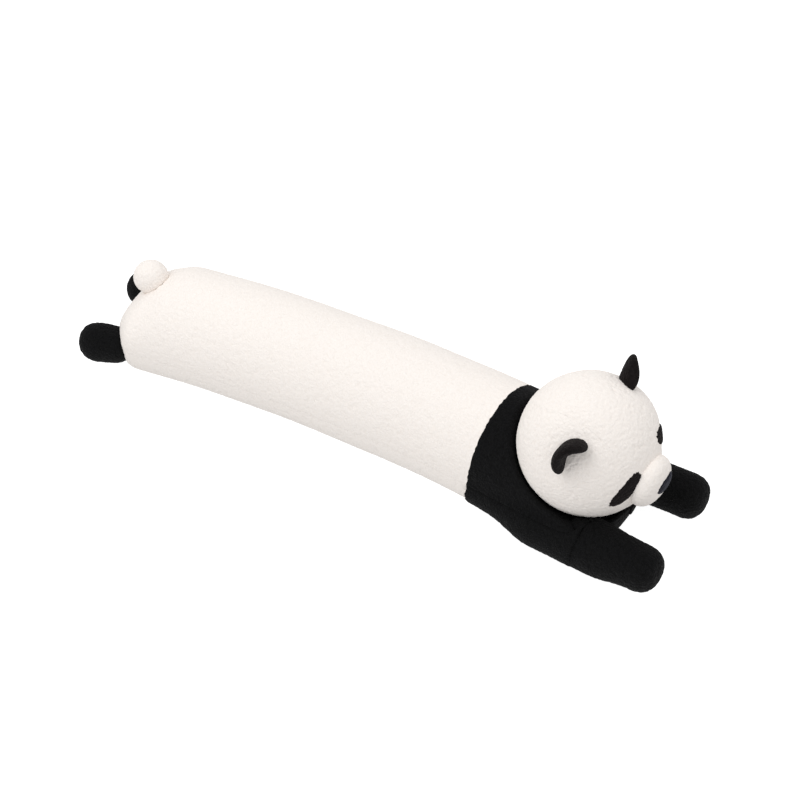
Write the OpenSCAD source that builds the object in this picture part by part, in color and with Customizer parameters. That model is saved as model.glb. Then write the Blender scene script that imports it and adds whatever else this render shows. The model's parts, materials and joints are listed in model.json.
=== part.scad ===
// Long plush panda bolster lying on its belly: a stuffed pillow body, a black yoke with two
// arms, two stub legs, a ball head cradled on the yoke and a ball tail. Millimetres, +Z up,
// +X to the head, +Y to the animal's left, origin on the floor under the middle of the body.

/* [Body] */
// Rear end to the seam where the black yoke starts, along the middle of the body
body_l = 598; // [480:2:640]
// Yoke seam to the front of the chest
yoke_l = 178; // [170:1:200]
// Width of the body
body_w = 171; // [165:1:180]
// Height of the body
body_h = 142; // [136:1:150]
// Height of the side seam, where the body is widest
seam_h = 56.5; // [52:0.5:62]
// Radius of the gentle sideways curve that the body lies in
bend_r = 2580; // [2000:20:6000]
// Seam to the resting point under the middle of the body
mid_back = 192; // [150:1:250]
// Thickness of the fleece, pile included
fleece_t = 3; // [2:0.5:4]

/* [Head] */
// Diameter of the head ball
head_d = 176; // [170:1:178]
// Centre of the head ahead of the yoke seam
head_x = 120; // [116:1:124]
// Centre of the head above the floor
head_z = 130; // [128:1:136]
// How far the head is turned to its right as it lies
head_yaw = -6; // [-10:1:10]
// How far the head leans on its right side as it lies
head_roll = 12.5; // [-15:0.5:15]
// Forward lean of the neck seam's axis
neck_lean = 35; // [30:1:40]
// Width of the panel over the crown of the head
crown_w = 62; // [40:1:80]
// Radius of the muzzle
muzzle_r = 27; // [24:1:30]
// Length of an eye patch
eye_l = 47; // [36:1:50]
// Width of an eye patch
eye_w = 18; // [14:1:20]
// Width of an ear
ear_w = 58; // [50:1:62]
// Height of an ear above the head
ear_h = 38; // [32:1:42]

/* [Limbs and tail] */
// Arm from the shoulder to the middle of the paw
arm_l = 76; // [70:1:80]
// Radius of an arm at the shoulder
arm_root_r = 26; // [24:1:27]
// Radius of a paw
paw_r = 30; // [28:1:31]
// How far the right arm lies ahead of the left one
arm_stagger = 12; // [0:1:14]
// Leg from the hip to the middle of the foot
leg_l = 26; // [22:1:34]
// Radius of a leg at the hip
leg_root_r = 25; // [22:1:26]
// Radius of a foot
foot_r = 27; // [24:1:28]
// Diameter of the tail ball
tail_d = 48; // [40:1:52]

/* [Hidden] */
$fn = 96;

cream = "#f3ede8";
black = "#141416";
ear_black = "#241f1f";
fibre = "#fbfbf8";
thread_cream = "#e6ddd2";

left = 1;
right = -1;
half_w = body_w / 2;
belly_corner_r = seam_h;
head_r = head_d / 2;
tail_r = tail_d / 2;
gap = 1;                      // running gap between two pieces that move apart
seam_w = 1.6;                 // width of a stitched seam
thread_in = 0.5;              // how far a seam's thread lies under the surface
far = 300;                    // longer than any cut needs
end_bulge = 110;              // plan radius of the rounded ends of the body
cup_gap = 4;                  // room between head and yoke for the neck closing
cup_r = head_r + cup_gap;
funnel_half_angle = 48;       // opening of the collar round the head
rear_len = 96;                // length of the sloping top at the rear end
rear_power = 1.4;             // superellipse power of that slope
front_len = 92;               // length of the rounded top at the chest
front_power = 2;
under_len = 35;               // length of the rounded underside at either end
under_power = 2;
outline_steps = 7;
overrun = 2;                  // how far the end outlines run past the belly and the crown
root_flat = 8;                // half angle of the small flat on a limb's root
arm_y = 67;
arm_x = 155;
arm_z = 41;
arm_splay = 3;
arm_gap = 3.5;                // room round an arm's root, which lets it swing inwards too
leg_y = 62;
leg_x = 14;
leg_z = 46;
leg_splay = 11;
leg_gap = 1.8;                // room round a leg's root
tail_x = 46;
tail_z = 131;
ear_side = 44;                // the ears' angle from the head's middle plane
ear_tip = 16.6;               // how far the ears lean forward from straight up
ear_turn = 26;                // how far the ears face outwards
ear_layer = 5.5;
ear_clear = 5;                // room under an ear so that it can fold
ear_centre = ear_h - ear_w / 2;
muzzle_pitch = 11;            // the muzzle's angle below the line to the front
muzzle_out = 76;
muzzle_half = 9;
nose_pitch = 1;
nose_r = 8;
nose_half = 6;
nose_t = 2.5;
patch_t = 2;
eye_side = 21.5;              // the eye patches' angle from the middle plane
eye_up = 3.5;
eye_slant = 42;
closing_r = 50;               // radius of the gathered disc under the head
neck_ring_r = 53;             // radius of the round of neck stitches
thread_r = 1.2;
crown_angle = asin(crown_w / head_d);
seam_angle = seam_w / head_d * 180 / PI;
ease = 0.3;                   // room between the head's layers, so that their round faces don't meet
thread_angle = seam_angle - ease / head_r * 180 / PI;

function arc(cx, cy, r, from, to, steps, first = 0) =
    [for (k = [first:steps]) let (a = from + (to - from) * k / steps) [cx + r * cos(a), cy + r * sin(a)]];

// Cross section of the body: a half circle on top, and round corners with a flat belly below
function section(inset) = let (c = half_w - belly_corner_r) concat(
    arc(0, seam_h, half_w - inset, 0, 180, 18),
    arc(-c, seam_h, belly_corner_r - inset, 180, 270, 6, 1),
    arc(c, seam_h, belly_corner_r - inset, 270, 345, 5)
);

// A quarter of a superellipse from its tip to its full height
function quarter(len, rise, power, steps) =
    [for (k = [0:steps]) let (a = 90 * k / steps)
        [len - len * pow(cos(a), 2 / power), rise * pow(sin(a), 2 / power)]];

// Side outline of an end of the body with its tip at x = 0, from just below the belly to just above the crown
function end_outline(len, power, inset) = concat(
    [for (k = [outline_steps:-1:1])
        let (p = quarter(under_len, seam_h + overrun - inset, under_power, outline_steps)[k])
            [p[0] + inset, seam_h - p[1]]],
    [for (p = quarter(len, body_h + overrun - seam_h - inset, power, outline_steps))
        [p[0] + inset, seam_h + p[1]]]
);

// Profile of a stuffed limb, from its round root at x = 0, closed by a small flat, to its round tip
function limb_profile(len, root_r, tip_r, inset) = let (a = asin((tip_r - root_r) / len)) concat(
    [[-(root_r - inset) * cos(root_flat), 0]],
    arc(0, 0, root_r - inset, 180 - root_flat, 90 + a, 7),
    arc(len, 0, tip_r - inset, 90 + a, 0, 7)
);

module at_yoke() {
    turn = mid_back / bend_r * 180 / PI;
    translate([bend_r * sin(turn), bend_r * (cos(turn) - 1), 0]) rotate(-turn) children();
}

module at_rear() {
    turn = (body_l - mid_back) / bend_r * 180 / PI;
    translate([-bend_r * sin(turn), bend_r * (cos(turn) - 1), 0]) rotate(turn) children();
}

module at_head_centre() {
    at_yoke() translate([head_x, 0, head_z]) children();
}

module at_head() {
    at_head_centre() rotate([0, 0, head_yaw]) rotate([head_roll, 0, 0]) children();
}

module at_neck() {
    at_head_centre() rotate([0, neck_lean, 0]) children();
}

module at_arm(side) {
    at_yoke() translate([arm_x - side * arm_stagger / 2, side * arm_y, arm_z])
        rotate(side * arm_splay) children();
}

module at_leg(side) {
    at_rear() translate([leg_x, side * leg_y, leg_z]) rotate(180 - side * leg_splay) children();
}

module at_ear(side) {
    at_head() rotate([0, ear_tip, 0]) rotate([-side * ear_side, 0, 0]) rotate(side * ear_turn)
        translate([0, 0, head_r]) children();
}

module cut_end(len, power, inset) {
    outline = end_outline(len, power, inset);
    rotate([90, 0, 0]) linear_extrude(2 * far, center = true)
        polygon(concat([[-far, -far], [outline[0][0], -far]], outline,
            [[outline[len(outline) - 1][0], far], [-far, far]]));
    difference() {
        translate([-far, -far, -far]) cube([far + end_bulge, 2 * far, 2 * far]);
        translate([end_bulge, 0, -far - 1]) cylinder(r = end_bulge - inset, h = 2 * far + 2);
    }
}

module limb(len, root_r, tip_r, inset) {
    rotate([0, 90, 0]) rotate_extrude()
        polygon([for (p = limb_profile(len, root_r, tip_r, inset)) [max(0, p[1]), p[0]]]);
}

module arm_form(inset) {
    limb(arm_l, arm_root_r, paw_r, inset);
}

module leg_form(inset) {
    limb(leg_l, leg_root_r, foot_r, inset);
}

// Profile of the space the head needs: a ball below and a collar that opens upwards
function head_room_profile(grow) = let (
    r = cup_r + grow,
    lip = funnel_half_angle,
    from_lip = far - r * sin(-lip)
) concat(
    arc(0, 0, r, -90, -lip, 6),
    [[r * cos(lip) + from_lip * tan(lip), far], [0, far]]
);

module head_room(grow) {
    at_neck() rotate_extrude() polygon([for (p = head_room_profile(grow)) [max(0, p[0]), p[1]]]);
}

module body_form(inset) {
    turn = mid_back / bend_r * 180 / PI;
    sweep = body_l / bend_r * 180 / PI;
    difference() {
        translate([0, -bend_r, 0]) rotate(90 - turn)
            rotate_extrude(angle = sweep, $fn = 720) translate([bend_r, 0]) polygon(section(inset));
        at_rear() cut_end(rear_len, rear_power, inset);
        for (side = [left, right]) at_leg(side) limb(leg_l, leg_root_r + leg_gap, foot_r + leg_gap, -inset);
        at_rear() translate([tail_x, 0, tail_z]) rotate([90, 0, 0]) sphere(r = tail_r + gap + inset);
    }
}

module yoke_form(inset) {
    difference() {
        at_yoke() rotate([90, 0, 90]) linear_extrude(yoke_l) polygon(section(inset));
        at_yoke() translate([yoke_l, 0, 0]) rotate(180) cut_end(front_len, front_power, inset);
        head_room(inset);
        for (side = [left, right]) at_arm(side) limb(arm_l, arm_root_r + arm_gap, paw_r + arm_gap, -inset);
    }
}

// A level slice of everything between two heights
module between(low, high) {
    translate([-2 * far, -far, low]) cube([4 * far, 2 * far, high - low]);
}

// Everything more than half a seam away from the yoke seam, in front of it or behind it
module beside_yoke_seam(front) {
    at_yoke() translate([front ? seam_w / 2 : -3 * far - seam_w / 2, -far, -1]) cube([3 * far, 2 * far, far]);
}

module back_panel() {
    color(cream) intersection() {
        difference() {
            body_form(0);
            body_form(fleece_t);
        }
        between(seam_h + seam_w / 2, body_h + 1);
        beside_yoke_seam(false);
    }
}

module belly_panel() {
    color(cream) intersection() {
        difference() {
            body_form(0);
            body_form(fleece_t);
        }
        between(-1, seam_h - seam_w / 2);
        beside_yoke_seam(false);
    }
}

module side_seam_stitching() {
    color(thread_cream) intersection() {
        difference() {
            body_form(thread_in);
            body_form(fleece_t);
        }
        between(seam_h - seam_w / 2, seam_h + seam_w / 2);
        beside_yoke_seam(false);
    }
}

module yoke_back_panel() {
    color(black) intersection() {
        difference() {
            yoke_form(0);
            yoke_form(fleece_t);
        }
        between(seam_h + seam_w / 2, body_h + 1);
        beside_yoke_seam(true);
    }
}

module yoke_chest_panel() {
    color(black) intersection() {
        difference() {
            yoke_form(0);
            yoke_form(fleece_t);
        }
        between(-1, seam_h - seam_w / 2);
        beside_yoke_seam(true);
    }
}

module yoke_side_stitching() {
    color(black) intersection() {
        difference() {
            yoke_form(thread_in);
            yoke_form(fleece_t);
        }
        between(seam_h - seam_w / 2, seam_h + seam_w / 2);
        beside_yoke_seam(true);
    }
}

module yoke_seam_stitching() {
    color(black) at_yoke() rotate([90, 0, 90]) linear_extrude(seam_w, center = true) difference() {
        polygon(section(thread_in));
        polygon(section(fleece_t));
    }
}

module body_stuffing() {
    color(fibre) body_form(fleece_t);
}

module yoke_stuffing() {
    color(fibre) yoke_form(fleece_t);
}

// Gathered disc that closes the head under the neck seam
module neck_closing_disc() {
    color(cream) at_neck() intersection() {
        difference() {
            sphere(r = cup_r - gap / 2);
            sphere(r = head_r + gap / 2);
        }
        translate([0, 0, -far]) cylinder(r = closing_r, h = far);
    }
}

module neck_stitching() {
    color(thread_cream) at_neck() translate([0, 0, -sqrt(pow(cup_r - cup_gap / 2, 2) - pow(neck_ring_r, 2))])
        rotate_extrude() translate([neck_ring_r, 0]) circle(r = thread_r, $fn = 24);
}

// A band of the head's cover between two angles up from the middle plane towards one side
module head_band(from, to, r) {
    steps = ceil((to - from) / 5);
    at_head() rotate([-90, 0, 0]) rotate_extrude() polygon([
        for (p = concat(arc(0, 0, r, from, to, steps), arc(0, 0, head_r - fleece_t, to, from, steps)))
            [max(0, p[0]), p[1]]
    ]);
}

module head_left_panel() {
    color(cream) head_band(crown_angle + seam_angle, 90, head_r);
}

module head_right_panel() {
    color(cream) head_band(-90, -crown_angle - seam_angle, head_r);
}

module head_crown_panel() {
    color(cream) head_band(-crown_angle + seam_angle, crown_angle - seam_angle, head_r);
}

module head_seam_stitching() {
    color(thread_cream) for (side = [left, right])
        head_band(side * crown_angle - thread_angle, side * crown_angle + thread_angle, head_r - thread_in);
}

module head_stuffing() {
    color(fibre) at_head() sphere(r = head_r - fleece_t - ease);
}

module at_muzzle() {
    at_head() rotate([0, muzzle_pitch, 0]) translate([muzzle_out, 0, 0]) children();
}

// A short bolster across the face with round ends
module muzzle_form(grow) {
    rotate([90, 0, 0]) {
        cylinder(r = muzzle_r + grow, h = 2 * muzzle_half, center = true);
        for (end = [left, right]) translate([0, 0, end * muzzle_half]) sphere(r = muzzle_r + grow);
    }
}

module muzzle_cover() {
    color(cream) difference() {
        at_muzzle() muzzle_form(0);
        at_muzzle() muzzle_form(-fleece_t);
        at_head() sphere(r = head_r + ease);
    }
}

module muzzle_stuffing() {
    color(fibre) difference() {
        at_muzzle() muzzle_form(-fleece_t - ease);
        at_head() sphere(r = head_r + ease);
    }
}

// A prism with round ends that runs out along +X
module stadium_prism(half_len, r) {
    rotate([90, 0, 90]) linear_extrude(far) {
        square([2 * half_len, 2 * r], center = true);
        for (end = [left, right]) translate([end * half_len, 0]) circle(r = r);
    }
}

module nose_patch() {
    color(black) difference() {
        intersection() {
            at_muzzle() muzzle_form(nose_t);
            at_head() rotate([0, nose_pitch, 0]) stadium_prism(nose_half, nose_r);
        }
        at_muzzle() muzzle_form(ease);
        at_head() sphere(r = head_r + ease);
    }
}

// An oval patch sewn on the face, its outer end low
module eye_patch(side) {
    color(black) at_head() intersection() {
        difference() {
            sphere(r = head_r + patch_t);
            sphere(r = head_r + ease);
            rotate([0, muzzle_pitch, 0]) translate([muzzle_out, 0, 0]) muzzle_form(ease);
        }
        rotate([0, -eye_up, side * eye_side]) rotate([side * -eye_slant, 0, 0])
            stadium_prism((eye_l - eye_w) / 2, eye_w / 2);
    }
}

module left_eye_patch() {
    eye_patch(left);
}

module right_eye_patch() {
    eye_patch(right);
}

// One padded layer of an ear: a disc cut off round where it meets the head
module ear_layer(side, from) {
    color(ear_black) at_ear(side) difference() {
        translate([from, 0, ear_centre]) rotate([0, 90, 0]) cylinder(d = ear_w, h = ear_layer);
        translate([0, 0, -head_r]) sphere(r = head_r + ear_clear);
    }
}

module left_ear_back() {
    ear_layer(left, -ear_layer);
}

module left_ear_front() {
    ear_layer(left, 0);
}

module right_ear_back() {
    ear_layer(right, -ear_layer);
}

module right_ear_front() {
    ear_layer(right, 0);
}

module arm_cover(side) {
    color(black) at_arm(side) difference() {
        arm_form(0);
        arm_form(fleece_t);
    }
}

module left_arm_cover() {
    arm_cover(left);
}

module left_arm_stuffing() {
    color(fibre) at_arm(left) arm_form(fleece_t);
}

module right_arm_cover() {
    arm_cover(right);
}

module right_arm_stuffing() {
    color(fibre) at_arm(right) arm_form(fleece_t);
}

module leg_cover(side) {
    color(black) at_leg(side) difference() {
        leg_form(0);
        leg_form(fleece_t);
    }
}

module left_leg_cover() {
    leg_cover(left);
}

module left_leg_stuffing() {
    color(fibre) at_leg(left) leg_form(fleece_t);
}

module right_leg_cover() {
    leg_cover(right);
}

module right_leg_stuffing() {
    color(fibre) at_leg(right) leg_form(fleece_t);
}

module tail_cover() {
    color(cream) at_rear() translate([tail_x, 0, tail_z]) difference() {
        sphere(r = tail_r);
        sphere(r = tail_r - fleece_t);
    }
}

module tail_stuffing() {
    color(fibre) at_rear() translate([tail_x, 0, tail_z]) sphere(r = tail_r - fleece_t);
}

back_panel();
belly_panel();
side_seam_stitching();
yoke_back_panel();
yoke_chest_panel();
yoke_side_stitching();
yoke_seam_stitching();
body_stuffing();
yoke_stuffing();
neck_closing_disc();
neck_stitching();
head_left_panel();
head_right_panel();
head_crown_panel();
head_seam_stitching();
head_stuffing();
muzzle_cover();
muzzle_stuffing();
nose_patch();
left_eye_patch();
right_eye_patch();
left_ear_back();
left_ear_front();
right_ear_back();
right_ear_front();
left_arm_cover();
left_arm_stuffing();
right_arm_cover();
right_arm_stuffing();
left_leg_cover();
left_leg_stuffing();
right_leg_cover();
right_leg_stuffing();
tail_cover();
tail_stuffing();
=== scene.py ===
import json
import math

import bmesh
import bpy
import numpy as np
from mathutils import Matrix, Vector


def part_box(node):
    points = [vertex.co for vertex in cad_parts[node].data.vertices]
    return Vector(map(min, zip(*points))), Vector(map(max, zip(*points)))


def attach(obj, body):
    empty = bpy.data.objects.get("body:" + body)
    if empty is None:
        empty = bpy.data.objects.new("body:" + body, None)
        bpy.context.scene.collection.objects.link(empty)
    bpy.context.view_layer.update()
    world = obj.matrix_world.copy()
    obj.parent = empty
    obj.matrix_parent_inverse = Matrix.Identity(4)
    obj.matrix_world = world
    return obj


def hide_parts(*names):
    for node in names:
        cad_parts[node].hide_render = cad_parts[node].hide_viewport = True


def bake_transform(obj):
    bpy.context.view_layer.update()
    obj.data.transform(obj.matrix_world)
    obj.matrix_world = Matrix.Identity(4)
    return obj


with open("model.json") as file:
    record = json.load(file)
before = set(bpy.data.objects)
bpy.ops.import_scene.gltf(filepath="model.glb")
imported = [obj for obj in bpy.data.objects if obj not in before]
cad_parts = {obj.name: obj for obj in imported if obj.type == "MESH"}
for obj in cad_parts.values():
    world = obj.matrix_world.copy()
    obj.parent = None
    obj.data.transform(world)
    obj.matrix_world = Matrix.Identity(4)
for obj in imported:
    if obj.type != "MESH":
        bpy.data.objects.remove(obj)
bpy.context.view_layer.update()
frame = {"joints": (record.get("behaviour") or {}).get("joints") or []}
print("frame loaded")

mm = 0.001
joints = {joint["name"]: joint for joint in frame["joints"]}


def jointPoint(name):
    return np.array(joints[name]["pos_m"], float)


def jointAxis(name):
    axis = np.array(joints[name]["axis"], float)
    return axis / np.linalg.norm(axis)


def unit(v):
    return v / np.maximum(np.linalg.norm(v, axis=-1, keepdims=True), 1e-12)


def heading(angle):
    return np.array([math.cos(angle), math.sin(angle), 0.0])


def leftOf(angle):
    return np.stack([-np.sin(angle), np.cos(angle), np.zeros_like(angle)], -1)


# Every place comes from the frame's joints and boxes; headShift sets the ball off the turning point
headShift = np.array([-0.25, -1.4, -0.9]) * mm
headCentre = jointPoint("head_turn") + headShift
neckAxis = jointAxis("head_turn")
headLeft = jointAxis("head_nod")
headFront = unit(np.array([headLeft[1], -headLeft[0], 0.0]))
headUp = np.cross(headFront, headLeft)
tailCentre = jointPoint("tail_wag")
hipLeft, hipRight = jointPoint("left_leg_swing"), jointPoint("right_leg_swing")
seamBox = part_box("yoke_seam_stitching")
seamPoint = np.array([(seamBox[0].x + seamBox[1].x) / 2, (seamBox[0].y + seamBox[1].y) / 2, 0.0])
toHead = headCentre - seamPoint
frontAngle = math.atan2(toHead[1], toHead[0])
hipLine = hipLeft - hipRight
rearAngle = math.atan2(-hipLine[0], hipLine[1])

bodyShape = {
    "halfWidth": 85.5 * mm, "seamHeight": 56.5 * mm, "rise": 85.5 * mm,
    "yokeLength": 184 * mm, "hipInset": 14 * mm, "endBulge": 110 * mm,
    "rearSlope": 96 * mm, "rearPower": 1.4, "frontSlope": 92 * mm, "frontPower": 2.0,
    "underSlope": 35 * mm, "bellyPower": 2.7, "backPower": 2.0,
    "unevenness": 1.1 * mm, "floorGap": 0.3 * mm, "seamWander": 0.5 * mm, "wanderWidth": 7 * mm,
    "endZone": 60 * mm, "endBlend": 9 * mm, "unevenWave": 190 * mm,
}
shoulder = {"radius": 30 * mm, "seamShare": 0.76, "side": 68 * mm, "height": 43 * mm, "full": 100 * mm,
            "blend": 7 * mm, "bulge": 8.2 * mm, "bulgeStart": 38 * mm, "bulgeDown": 42,
            "closeFrom": -4 * mm, "closeLength": 36 * mm, "inner": 35 * mm}
pile = {"thickness": 3 * mm, "step": 2.3 * mm, "curlSize": 4.2 * mm, "curlHeight": 1.3 * mm,
        "rollDepth": 0.15 * mm, "rollWidth": 1.0 * mm}

rearPoint = (hipLeft + hipRight) / 2 - bodyShape["hipInset"] * heading(rearAngle)
rearPoint[2] = 0
bendAngle = rearAngle - frontAngle
chord = np.linalg.norm(seamPoint - rearPoint)
bendRadius = chord / (2 * math.sin(bendAngle / 2))
bodyLength = bendRadius * bendAngle


# Spine: an arc of bendRadius behind the yoke seam and a straight line ahead of it, by distance from the seam
def spine(w):
    w = np.asarray(w, float)
    angle = frontAngle - np.minimum(w, 0) / bendRadius
    centre = seamPoint - bendRadius * leftOf(np.array(frontAngle))
    return centre + bendRadius * leftOf(angle) + np.maximum(w, 0)[..., None] * heading(frontAngle), angle


# Smaller of two lengths, rounded where they cross: b(1 - h) + ah - blend h(1 - h), h from 0 to 1 over 2 blends
def softMin(a, b, blend):
    h = np.clip(0.5 + 0.5 * (b - a) / blend, 0, 1)
    return b * (1 - h) + a * h - blend * h * (1 - h)


# 3s^2 - 2s^3 for a share s from 0 to 1
def smoothStep(share):
    share = np.clip(share, 0, 1)
    return share * share * (3 - 2 * share)


# A rounded end: (1 - (1 - d / length)^power)^(1 / power) by distance d from the end
def quarterCurve(d, length, power):
    return (1 - np.clip(1 - d / length, 0, 1) ** power) ** (1 / power)


# Random height from the cell a point is in, by mixing its three whole numbers
def cellRandom(cell, salt):
    h = (cell[..., 0] * 73856093) ^ (cell[..., 1] * 19349663) ^ (cell[..., 2] * 83492791) ^ (salt * 2654435)
    h = (h ^ (h >> 13)) * 1274126177 & 0xFFFFFFFF
    h = (h ^ (h >> 16)) * 668265263 & 0xFFFFFFFF
    return ((h ^ (h >> 15)) & 0xFFFFFF) / float(0x1000000)


# Curls of the pile: one rounded tuft per cell, 1 at its middle and 0 between tufts
def curls(points, size, salt=1):
    flat = points.reshape(-1, 3) / size
    base = np.floor(flat).astype(np.int64)
    nearest = np.full(len(flat), 9.0)
    for dx in (-1, 0, 1):
        for dy in (-1, 0, 1):
            for dz in (-1, 0, 1):
                cell = base + np.array([dx, dy, dz])
                spot = cell + np.stack([cellRandom(cell, salt + k) for k in range(3)], -1)
                nearest = np.minimum(nearest, ((flat - spot) ** 2).sum(-1))
    return np.clip(1 - nearest / 0.85, 0, 1).reshape(points.shape[:-1]) ** 0.8


# Slow unevenness of the stuffing: sums of sines in three directions, -1 to 1
def lumps(points, wave, salt=0.0):
    p = points * (2 * math.pi / wave)
    x, y, z = p[..., 0] + salt, p[..., 1] + 2 * salt, p[..., 2] - salt
    return (np.sin(x + 1.7 * np.sin(0.63 * y + 0.4)) + np.sin(1.31 * y + 1.3 * np.sin(0.81 * z))
            + np.sin(0.87 * z + 1.1 * np.sin(0.7 * x + 1.9))) / 3


# Normals of a grid: the cross product of its differences along the columns and the rows, and the mean of the
# next row where a row is one point
def gridNormals(grid, wrap):
    if wrap:
        padded = np.concatenate([grid[:, -1:], grid, grid[:, :1]], 1)
        du = (padded[:, 2:] - padded[:, :-2]) / 2
    else:
        du = np.gradient(grid, axis=1)
    dv = np.gradient(grid, axis=0)
    n = np.cross(du, dv)
    size = np.linalg.norm(n, axis=-1)
    n = unit(n)
    for row, inner in ((0, 1), (-1, -2)):
        if size[row].max() < 1e-9:
            n[row] = unit(n[inner].mean(0))
    return n


# Four corner numbers of every face of a grid
def gridFaces(rows, cols, wrap, start=0):
    i = np.arange(rows - 1)[:, None]
    j = np.arange(cols if wrap else cols - 1)[None, :]
    k = (j + 1) % cols
    return np.stack([i * cols + j, i * cols + k, (i + 1) * cols + k, (i + 1) * cols + j], -1).reshape(-1, 4) + start


# A smooth mesh of four-sided faces that carries the curl height of each point; sharpRim keeps its cut edges crisp
def addMesh(name, points, faces, curl, sharpRim=False):
    mesh = bpy.data.meshes.new(name)
    mesh.vertices.add(len(points))
    mesh.vertices.foreach_set("co", points.astype(np.float32).ravel())
    mesh.loops.add(faces.size)
    mesh.loops.foreach_set("vertex_index", faces.astype(np.int32).ravel())
    mesh.polygons.add(len(faces))
    mesh.polygons.foreach_set("loop_start", np.arange(0, faces.size, 4, dtype=np.int32))
    mesh.update(calc_edges=True)
    mesh.validate()
    attribute = mesh.attributes.new("curl", "FLOAT", "POINT")
    attribute.data.foreach_set("value", np.asarray(curl, np.float32))
    bm = bmesh.new()
    bm.from_mesh(mesh)
    bmesh.ops.remove_doubles(bm, verts=bm.verts, dist=2e-6)
    bm.to_mesh(mesh)
    bm.free()
    mesh.polygons.foreach_set("use_smooth", np.ones(len(mesh.polygons), bool))
    if sharpRim:
        mesh.set_sharp_from_angle(angle=math.radians(70))
    mesh.update()
    piece = bpy.data.objects.new(name, mesh)
    bpy.context.scene.collection.objects.link(piece)
    return piece


# Distance of each grid point from the grid's open edges, measured along its rows and columns
def edgeDistance(grid, sides):
    far = np.full(grid.shape[:2], 1.0)
    for axis, low, high in ((0, "first", "last"), (1, "left", "right")):
        step = np.linalg.norm(np.diff(grid, axis=axis), axis=-1)
        run = np.concatenate([np.zeros_like(np.take(step, [0], axis)), np.cumsum(step, axis)], axis)
        if low in sides:
            far = np.minimum(far, run)
        if high in sides:
            far = np.minimum(far, np.take(run, [-1], axis) - run)
    return far


# A fleece panel: the grid moved along its normals by curlHeight * curl - rollDepth * exp(-(edge / rollWidth)^2),
# and an inner wall one thickness behind the grid
def panel(name, grid, inside, wrap=False, sides=(), salt=1, sharpRim=False, curlHeight=pile["curlHeight"],
          thickness=pile["thickness"], rollDepth=pile["rollDepth"]):
    n = gridNormals(grid, wrap)
    flip = (n * (grid - inside)).sum(-1).mean() < 0
    n = -n if flip else n
    curl = curls(grid, pile["curlSize"], salt)
    edge = edgeDistance(grid, sides)
    valley = np.exp(-(edge / pile["rollWidth"]) ** 2)
    outer = grid + n * (curlHeight * curl - rollDepth * valley)[..., None]
    inner = grid - n * thickness
    rows, cols = grid.shape[:2]
    front = gridFaces(rows, cols, wrap)
    back = gridFaces(rows, cols, wrap, rows * cols)[:, ::-1]
    faces = [front, back]
    total = rows * cols
    if not wrap:
        for column in (0, cols - 1):
            a = np.arange(rows - 1) * cols + column
            strip = np.stack([a, a + cols, a + cols + total, a + total], -1)
            faces.append(strip if column == 0 else strip[:, ::-1])
    for row in (0, rows - 1):
        if np.ptp(grid[row], axis=0).max() < 1e-7:
            continue
        j = np.arange(cols if wrap else cols - 1)
        a, b = row * cols + j, row * cols + (j + 1) % cols
        strip = np.stack([b, a, a + total, b + total], -1)
        faces.append(strip if row == 0 else strip[:, ::-1])
    faces = np.concatenate(faces)
    # The grid's own winding follows du x dv, so an inward normal turns every face round
    if flip:
        faces = faces[:, ::-1]
    shade = np.concatenate([curl.ravel(), np.full(total, 0.3)])
    return addMesh(name, np.concatenate([outer.reshape(-1, 3), inner.reshape(-1, 3)]), faces, shade, sharpRim)


# A closed lumpy filling on a grid whose first and last rows are single points: height * lumps along the normals
def filling(name, grid, height=0.8 * mm):
    wave = 26 * mm
    n = gridNormals(grid, True)
    if (n * (grid - grid.mean((0, 1)))).sum(-1).mean() < 0:
        grid, n = grid[:, ::-1], -n[:, ::-1]
    shape = grid + n * (height * lumps(grid, wave, 2.0))[..., None]
    shade = 0.5 + 0.5 * lumps(grid, wave / 4, 5.0)
    return addMesh(name, shape.reshape(-1, 3), gridFaces(*grid.shape[:2], True), shade.ravel())


# Thread: a round tube along a closed or open path, of radius * (0.55 + 0.45 |sin(pi * run / stitch)|)
def thread(name, path, radius, stitch, closed=True):
    sides = 6
    ahead = np.roll(path, -1, 0) - np.roll(path, 1, 0)
    if not closed:
        ahead[0], ahead[-1] = path[1] - path[0], path[-1] - path[-2]
    t = unit(ahead)
    side = unit(np.cross(t, np.array([0.13, 0.21, 0.97])))
    up = np.cross(side, t)
    run = np.concatenate([[0], np.cumsum(np.linalg.norm(np.diff(path, axis=0), axis=1))])
    swell = radius * (0.55 + 0.45 * np.abs(np.sin(math.pi * run / stitch)))
    a = np.linspace(0, 2 * math.pi, sides, endpoint=False)
    ring = np.cos(a)[None, :, None] * side[:, None] + np.sin(a)[None, :, None] * up[:, None]
    grid = path[:, None] + ring * swell[:, None, None]
    if closed:
        grid = np.concatenate([grid, grid[:1]])
    else:
        tips = [np.repeat(path[k][None, None], sides, 1) for k in (0, -1)]
        grid = np.concatenate([tips[0], grid, tips[1]])
    grid = grid[:, ::-1] if closedWinding(grid) else grid
    shade = np.full(grid.shape[0] * sides, 0.7)
    return addMesh(name, grid.reshape(-1, 3), gridFaces(*grid.shape[:2], True), shade)


# Whether a tube's faces look inwards
def closedWinding(grid):
    n = gridNormals(grid, True)
    return (n * (grid - grid.mean(1, keepdims=True))).sum(-1).mean() < 0


# A socket that shader maths can be written with
class Value:
    def __init__(self, tree, socket):
        self.tree, self.socket = tree, socket

    def maths(self, kind, a, b=None):
        return self.tree.node("ShaderNodeMath", {"operation": kind}, [a, b])

    def __add__(self, other): return self.maths("ADD", self, other)
    def __radd__(self, other): return self.maths("ADD", other, self)
    def __sub__(self, other): return self.maths("SUBTRACT", self, other)
    def __rsub__(self, other): return self.maths("SUBTRACT", other, self)
    def __mul__(self, other): return self.maths("MULTIPLY", self, other)
    def __rmul__(self, other): return self.maths("MULTIPLY", other, self)


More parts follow.
